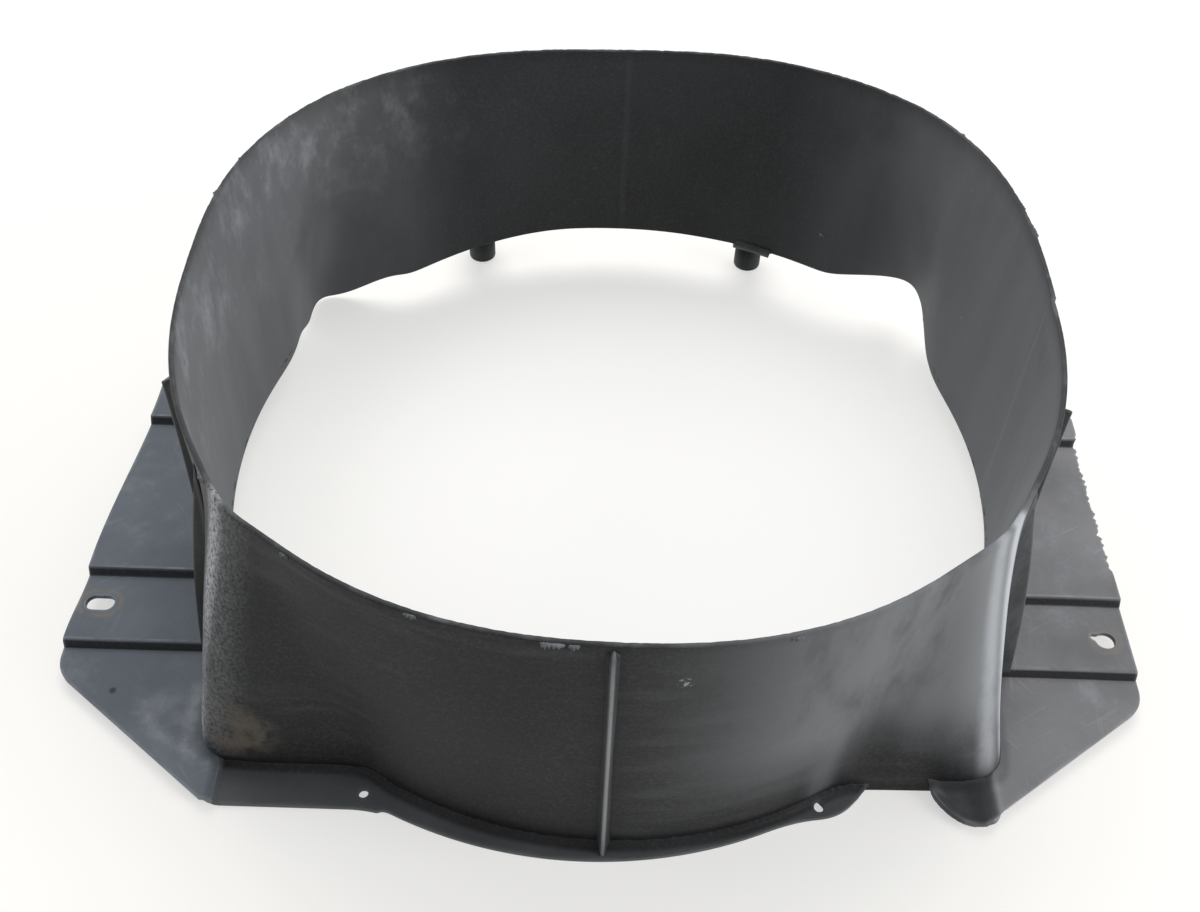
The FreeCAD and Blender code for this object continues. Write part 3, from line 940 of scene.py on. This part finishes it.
# %% Places on the wall
# Places round the wall are shares of a full turn, and a streak is (turn, width, amount). FRONT_FACE is the
# stretch of Y over which a mark on the front face fades in.
LEFT_CREASE = (math.pi + math.atan2(BOX_FRONT, CREASE_X)) / (2.0 * math.pi)
RIGHT_FLANK = 0.829
RIGHT_CREASE = 0.848
# The corner streaks are painted highlights as well as rubbed plastic.
RIGHT_CORNER_STREAKS = ((0.8890, 0.0056, 1.15), (0.8795, 0.0045, 0.50), (0.8850, 0.020, 0.24))
LEFT_CORNER_STREAKS = ((0.6120, 0.0070, 0.95), (0.6180, 0.014, 0.24))
FRONT_FACE = (-0.18, -0.20)


def wall_values(g):
    """What the wall's wear is made of: the axes, the turn round it, its two faces, and kinds of noise."""
    x, y, z = g.axes()
    turn, along = g.surface()
    inside = along.within(0.47, 0.53)
    return SimpleNamespace(
        x=x, y=y, z=z, turn=turn, inside=inside, outer=1.0 - inside,
        clouds=g.noise(9.0, 6.0),
        smears=g.noise(24.0, 8.0, (1.0, 1.0, 0.35), 0.62),
        streaks=g.noise(38.0, 5.0, (1.0, 1.0, 0.06), 0.6),
        fine=g.noise(420.0, 3.0),
    )


# %% Wear and painted light of the throat, the faces, the corners and small marks
def throat_wear_and_light(g, w, tint):
    """Dust inside: thin all round, thick on the two sides and partly painted side light there, chalky high on
    the left, and a few specks.
    """
    tint = g.mix(w.inside * (0.09 + 0.12 * w.smears), tint, DUST_AND_PAINTED_LIGHT)
    # Partly painted light: the throat's sides face the side lamps, and this dust brightens them further.
    side = w.x.distance().within(0.10, 0.225) * w.inside
    side = side * (0.35 + 0.4 * w.streaks + 0.5 * w.smears) * w.clouds.within(0.05, 0.45)
    tint = g.mix(side, tint, DUST_AND_PAINTED_LIGHT)
    # Partly painted light: more dust low on the throat's right side brightens it further.
    low_right_dust_and_light = w.x.within(0.17, 0.22) * w.z.within(0.12, 0.03) * w.inside
    tint = g.mix(low_right_dust_and_light * 0.4, tint, DUST_AND_PAINTED_LIGHT)
    high_left = w.x.within(-0.08, -0.22) * w.z.within(0.06, 0.18) * w.inside
    smudge = g.noise(30.0, 10.0, (1.0, 1.0, 0.6), 0.72).within(0.46, 0.74)
    tint = g.mix(high_left * smudge * 0.55, tint, CHALK_AND_HIGHLIGHT)
    specks = g.noise(170.0, 3.0).within(0.70, 0.76) * w.x.within(0.10, 0.15) * w.y.within(0.05, 0.12)
    tint = g.mix(specks * w.inside * w.clouds.within(0.4, 0.6) * 0.6, tint, CHALK_AND_HIGHLIGHT)
    weld_line = w.x.band(0.004, 0.003, 0.001) * w.inside * w.y.within(0.1, 0.2)
    return g.mix(weld_line * 0.02, tint, CHALK_AND_HIGHLIGHT)


def face_wear_and_light(g, w, tint):
    """Outside: wiped dust, a painted highlight on the right front where light falls, and painted shade in the
    creases.
    """
    # Painted shade in the hollow of the left crease, low on the outside.
    crease_shade = w.turn.band(LEFT_CREASE - 0.006, 0.035, 0.0) * w.outer * w.z.within(0.15, 0.02)
    tint = g.mix(crease_shade * 0.7, tint, SOOT_AND_SHADE)
    wipe = g.noise(5.0, 3.0, (1.0, 1.0, 2.0)) * g.noise(40.0, 4.0, (0.5, 0.5, 2.5))
    tint = g.mix(w.outer * wipe.within(0.25, 0.45) * 0.12, tint, DUST_AND_PAINTED_LIGHT)
    # Painted highlight: a pale stretch low on the right front face, where the right lamp falls.
    pale = w.x.within(0.0, 0.14) * w.y.within(-0.12, -0.2) * w.outer * w.z.within(0.02, 0.09)
    tint = g.mix(pale * w.smears.within(0.18, 0.58), tint, DUST_AND_PAINTED_LIGHT)
    # Painted highlight: an upright pale band low on the right flank, where the right lamp falls.
    flank = w.turn.band(RIGHT_FLANK, 0.010, 0.001) * w.outer * w.z.within(0.10, 0.02)
    tint = g.mix(flank * w.smears.within(0.25, 0.6) * 0.45, tint, DUST_AND_PAINTED_LIGHT)
    # Painted shade in the hollow of the right crease.
    crease_shade = w.turn.band(RIGHT_CREASE, 0.016, 0.0) * w.outer * w.z.within(0.12, 0.03)
    return g.mix(crease_shade * 0.6, tint, SOOT_AND_SHADE)


def corner_wear_and_highlights(g, w, tint):
    """The box's front corners are rubbed pale and carry painted highlights, in upright streaks, smooth at
    right and gritty at left.
    """
    standing = w.outer * w.z.within(0.004, 0.03)
    smooth = 0.15 + 1.0 * w.smears.within(0.3, 0.62)
    gritty = g.noise(520.0, 4.0, roughness=0.7).within(0.30, 0.65) * w.smears.within(0.25, 0.6)
    # Painted highlights and rubbing: pale streaks down both front corners of the box.
    for streaks, broken in ((RIGHT_CORNER_STREAKS, smooth), (LEFT_CORNER_STREAKS, gritty)):
        for turn, width, amount in streaks:
            corner = w.turn.band(turn, width, 0.1 * width) * standing
            tint = g.mix(corner * broken * amount, tint, CHALK_AND_HIGHLIGHT)
    return tint


def small_marks_and_shade(g, w, tint):
    """Painted shade with some soot at the foot behind the lip, a patch of dirt low on the left, a scar near
    the rim, and a chafed rim.
    """
    # Painted shade with some soot: a dark band on the wall's foot, just above the flange.
    foot = w.outer * w.z.within(0.016, 0.007) * w.y.within(-0.19, -0.20)
    tint = g.mix(foot * 0.85, tint, SOOT_AND_SHADE)
    dirt = away(w.x, -0.196, w.z, 0.038).within(0.0007, 0.0001) * w.y.within(*FRONT_FACE)
    tint = g.mix(dirt * g.noise(60.0, 6.0, roughness=0.65).within(0.35, 0.6) * 0.65, tint, DIRT)
    scar = away(w.x, 0.033, w.z, 0.159).within(0.00002, 0.000004) * w.y.within(*FRONT_FACE)
    tint = g.mix(scar * w.fine.within(0.54, 0.62) * 0.6, tint, CHALK_AND_HIGHLIGHT)
    rim = w.z.within(HEIGHT - 1.2 * MM, HEIGHT - 0.4 * MM)
    return g.mix(rim * (0.10 + 0.5 * g.noise(50.0, 6.0).within(0.45, 0.75)), tint, DUST_AND_PAINTED_LIGHT)


def wall_finish():
    """Black plastic, clouded with charcoal, under four layers of wear and of painted light and shade."""
    g = Graph(bpy.data.materials.new("worn_wall_painted_light"))
    w = wall_values(g)
    tint = g.mix(w.clouds.within(0.35, 0.7), SOOT_AND_SHADE, CHARCOAL)
    for wear in (throat_wear_and_light, face_wear_and_light, corner_wear_and_highlights, small_marks_and_shade):
        tint = wear(g, w, tint)
    rough = 0.46 + 0.16 * w.clouds + 0.10 * w.inside
    return g.plastic(tint, rough, 0.25 * w.fine + 0.5 * w.streaks + 1.4 * w.clouds)


# %% Wear and painted shade of the wings
SCRATCHES = ((0.5, 120.0), (-0.9, 150.0), (1.45, 105.0))
WASHER_RADIUS = 8.8 * MM


def joggle_lines(g, y, tint, lag):
    """Painted shade as a dark line in each riser, and behind it a chafed edge that is also a painted
    highlight.
    """
    for line in STEP_LINES[:2] + (STEP_LINES[2] - lag,):
        # Painted shade: a dark line along each riser.
        tint = g.mix(y.band(line + 0.6 * MM, 1.6 * MM, 0.7 * MM) * 0.9, tint, SOOT_AND_SHADE)
        # A chafed edge that is also a painted highlight, just behind each riser.
        chafed = y.band(line + 3.0 * MM, 1.2 * MM, 0.3 * MM)
        tint = g.mix(chafed * g.noise(40.0, 5.0).within(0.35, 0.65) * 0.3, tint, CHALK_AND_HIGHLIGHT)
    return tint


def wing_values(g):
    """What a wing's wear is made of: two axes, the gap to the wall, the inset, and kinds of noise."""
    x, y = g.axes()[:2]
    gap, inset = g.surface()
    return SimpleNamespace(
        x=x, y=y, gap=gap, inset=inset,
        clouds=g.noise(11.0, 8.0, roughness=0.6),
        smears=g.noise(34.0, 9.0, roughness=0.68),
        fine=g.noise(380.0, 3.0),
    )


def washer_ring(g, w, tint, middle_x, middle_y, half):
    """A rusty ring where a washer sat: all points at one distance from the slot's middle line."""
    across = ((w.x - middle_x).distance() - half).at_least(0.0)
    ring = (away(across, 0.0, w.y, middle_y) ** 0.5).band(WASHER_RADIUS, 2.6 * MM, 0.3 * MM)
    return g.mix(ring * g.noise(120.0, 5.0).within(0.3, 0.6) * 0.6, tint, RUST)


def left_wear(g, w, tint):
    """An arc swept by something that rubbed, chafing along the box, and a small dark spot."""
    sweep = (away(w.x, -0.222, w.y, -0.150) ** 0.5).band(46.0 * MM, 8.0 * MM, 1.0 * MM)
    tint = g.mix(sweep * w.y.within(-0.13, -0.15) * w.smears.within(0.40, 0.70) * 0.22, tint, CHALK_AND_HIGHLIGHT)
    chafe = w.gap.band(9.0 * MM, 9.0 * MM, 1.0 * MM) * w.y.within(-0.14, -0.16)
    tint = g.mix(chafe * w.smears.within(0.42, 0.66) * 0.30, tint, CHALK_AND_HIGHLIGHT)
    spot = away(w.x, -0.281, w.y, -0.161) ** 0.5
    return g.mix(spot.within(2.6 * MM, 1.2 * MM) * 0.85, tint, SOOT_AND_SHADE)


def right_wear(g, w, tint):
    """The cup of the foot has kept its black."""
    cup = w.x.within(TIP_X + 3.0 * MM, TIP_X - 8.0 * MM) * w.y.within(-0.190, -0.205)
    return g.mix(cup * 0.75, tint, CHARCOAL)


# %% Finish of the wings
def wing_finish(name, base, scuff, amount, washer, lag, own_wear):
    """Grey sheet with cloudy dust, fine crossing scratches, worn edges, a ring where a washer sat, painted
    shade in the joggles and painted shade along the wall.
    """
    g = Graph(bpy.data.materials.new(name))
    w = wing_values(g)
    tint = g.mix(w.clouds.within(0.32, 0.70), base, scuff)
    tint = g.mix(w.smears.within(0.50, 0.78) * amount, tint, CHALK_AND_HIGHLIGHT)
    for turn, cells in SCRATCHES:
        scratch = g.noise(cells, 4.0, (0.16, 2.4, 1.0), 0.55, turn).within(0.62, 0.72)
        tint = g.mix(scratch * w.clouds.within(0.42, 0.62) * amount * 0.6, tint, CHALK_AND_HIGHLIGHT)
    tint = joggle_lines(g, w.y, tint, lag)
    tint = washer_ring(g, w, tint, *washer)
    tint = own_wear(g, w, tint)
    edge = w.inset.within(1.8 * MM, 0.5 * MM) * w.gap.within(3.0 * MM, 6.0 * MM)
    tint = g.mix(edge * g.noise(60.0, 5.0).within(0.3, 0.7) * 0.25, tint, CHALK_AND_HIGHLIGHT)
    # Painted shade: the sheet darkens over the last 9 mm towards the wall.
    tint = g.mix(w.gap.within(9.0 * MM, 1.0 * MM) * 0.55, tint, SOOT_AND_SHADE)
    return g.plastic(tint, 0.42 + 0.2 * w.clouds, 0.25 * w.fine + 0.8 * w.clouds + 0.3 * w.smears)


wing_finishes = {
    "left": wing_finish(
        "slate_wing_painted_shade", colour(0.088, 0.104, 0.124), colour(0.134, 0.154, 0.180), 0.20,
        (-SLOT_X, SLOT_Y, SLOT_HALF), LEFT_LAG, left_wear,
    ),
    "right": wing_finish(
        "scuffed_wing_painted_shade", colour(0.132, 0.134, 0.141), colour(0.212, 0.214, 0.224), 0.28,
        (WORN_HOLE_X, WORN_HOLE_Y, 0.0), 0.0, right_wear,
    ),
}


# %% Finishes of the flange and of the ribs
def flange_finish():
    """Painted shade with some soot by the wall, where it stays black; dusted grey further out and along its
    outer edge.
    """
    g = Graph(bpy.data.materials.new("dusty_flange_painted_shade"))
    gap, inset = g.surface()
    clouds = g.noise(18.0, 6.0)
    fine = g.noise(420.0, 3.0)
    tint = g.mix(clouds.within(0.3, 0.7), SOOT_AND_SHADE, CHARCOAL)
    # Painted shade with some soot: the sheet stays black within 2.5 mm of the wall, and dust fades in further
    # out.
    tint = g.mix(gap.within(2.5 * MM, 6.5 * MM) * (0.28 + 0.45 * clouds), tint, DUST_AND_PAINTED_LIGHT)
    edge = inset.within(2.2 * MM, 0.6 * MM)
    tint = g.mix(edge * g.noise(60.0, 5.0).within(0.3, 0.7) * 0.3, tint, DUST_AND_PAINTED_LIGHT)
    return g.plastic(tint, 0.46 + 0.15 * clouds, 0.25 * fine + 0.6 * clouds)


def rib_finish(name, dusted, ridge=0.0):
    """Black plastic with some dust and, where a ridge is given, a pale line along the worn nose."""
    g = Graph(bpy.data.materials.new(name))
    clouds = g.noise(18.0, 5.0)
    fine = g.noise(420.0, 3.0)
    smears = g.noise(60.0, 6.0, (1.0, 1.0, 0.25), 0.65)
    tint = g.mix(clouds.within(0.3, 0.7), SOOT_AND_SHADE, CHARCOAL)
    tint = g.mix((0.4 + 0.6 * smears.within(0.35, 0.7)) * dusted, tint, DUST_AND_PAINTED_LIGHT)
    if ridge:
        nose = g.axes()[0].band(0.0, 1.3 * MM, 0.4 * MM) * smears.within(0.2, 0.6)
        tint = g.mix(nose * ridge, tint, CHALK_AND_HIGHLIGHT)
    return g.plastic(tint, 0.44 + 0.15 * clouds, 0.25 * fine + 0.6 * clouds)


# %% Give each piece its finish
wall.data.materials.append(wall_finish())
for word, wing in wings.items():
    wing.data.materials.append(wing_finishes[word])
flange.data.materials.append(flange_finish())
plain_rib = rib_finish("black_rib", 0.25)
special = {
    "right_front_rib_blade": rib_finish("worn_rib", 0.8),
    "front_centre_rib_blade": rib_finish("ridged_rib", 0.25, 0.55),
}
for piece in ribs + pegs:
    piece.data.materials.append(special.get(piece.name, plain_rib))
flash.data.materials.append(rib_finish("frayed_flash", 0.9))
print(len(bpy.data.materials), "materials")


# %% [markdown]
# ## Floor and light
# The part lies on a plain white table in flat, bright light. A wide lamp above and behind shines down into
# the throat, two others at the sides light its walls, the right one brighter, and the world fills the
# rest. More light would wash out the black plastic, so the floor has a near-white colour instead, and
# glows a little for rays that see it as the background. Inside the throat the glow is stronger: a pool of
# light painted on the floor.

# %% Floor
FLOOR_HALF = 40.0
FLOOR_DROP = 0.2 * MM
FLOOR_GLOW = 0.54
PAINTED_LIGHT_POOL = 0.18
WHITE = colour(1.0, 1.0, 1.0)


def seen_rays(g):
    """1 for a ray that sees the background: from the camera, or off gloss or through glass."""
    rays = ("Is Camera Ray", "Is Glossy Ray", "Is Transmission Ray")
    return sum(g.node("ShaderNodeLightPath", output=ray) for ray in rays)


def table_finish():
    """Near-white paint mixed with a glow, stronger inside the throat, where it is a painted pool of light."""
    g = Graph(bpy.data.materials.new("table_white"))
    paint = g.node("ShaderNodeBsdfPrincipled", None, {
        "Base Color": colour(0.95, 0.93, 0.87), "Roughness": 0.6, "Specular IOR Level": 0.2,
    })
    glow = g.node("ShaderNodeEmission", None, {"Color": WHITE, "Strength": 1.0})
    x, y = g.axes()[:2]
    # A painted pool of light: the floor glows more inside the throat.
    middle = away(x, 0.05, y, 0.02).within(0.06, 0.005)
    share = seen_rays(g) * (FLOOR_GLOW + PAINTED_LIGHT_POOL * middle)
    return g.finish(g.node("ShaderNodeMixShader", None, {0: share, 1: paint, 2: glow}))


def add_floor():
    """One large square, a hair below the part."""
    mesh = bpy.data.meshes.new("table")
    corners = [(FLOOR_HALF * x, FLOOR_HALF * y, 0.0) for x, y in ((-1, -1), (1, -1), (1, 1), (-1, 1))]
    mesh.from_pydata(corners, [], [(0, 1, 2, 3)])
    mesh.materials.append(table_finish())
    floor = bpy.data.objects.new("table", mesh)
    bpy.context.scene.collection.objects.link(floor)
    floor.location.z = -FLOOR_DROP


# %% Lamps and world
LAMPS = {
    "overhead": ((0.0, 1.1, 2.1), (0.0, 0.0, 0.0), (2.6, 1.6), 46.0),
    "right_window": ((2.2, -0.7, 0.9), (0.0, 0.0, 0.1), (1.2, 1.6), 36.0),
    "left_window": ((-2.2, 0.3, 0.9), (0.0, 0.0, 0.1), (1.2, 1.6), 12.0),
}
ROOM_LIGHT = 0.40
BACKDROP = 0.78


def add_lamp(name, place, target, size, power):
    """A rectangular lamp of a size in metres and a power in watts, aimed at its target."""
    data = bpy.data.lights.new(name, "AREA")
    data.shape = "RECTANGLE"
    data.size, data.size_y = size
    data.energy = power
    lamp = bpy.data.objects.new(name, data)
    bpy.context.scene.collection.objects.link(lamp)
    aim = Vector(target) - Vector(place)
    lamp.matrix_world = Matrix.Translation(place) @ aim.to_track_quat("-Z", "Y").to_matrix().to_4x4()


def add_world():
    """White all round: it lights at one strength and is seen, directly or in a reflection, at another."""
    g = Graph(bpy.data.worlds.new("room"))
    level = ROOM_LIGHT + (BACKDROP - ROOM_LIGHT) * seen_rays(g)
    background = g.node("ShaderNodeBackground", None, {"Color": WHITE, "Strength": level})
    bpy.context.scene.world = g.finish(background, "ShaderNodeOutputWorld")


add_floor()
add_world()
for name, settings in LAMPS.items():
    add_lamp(name, *settings)
bpy.context.scene.view_settings.view_transform = "Standard"
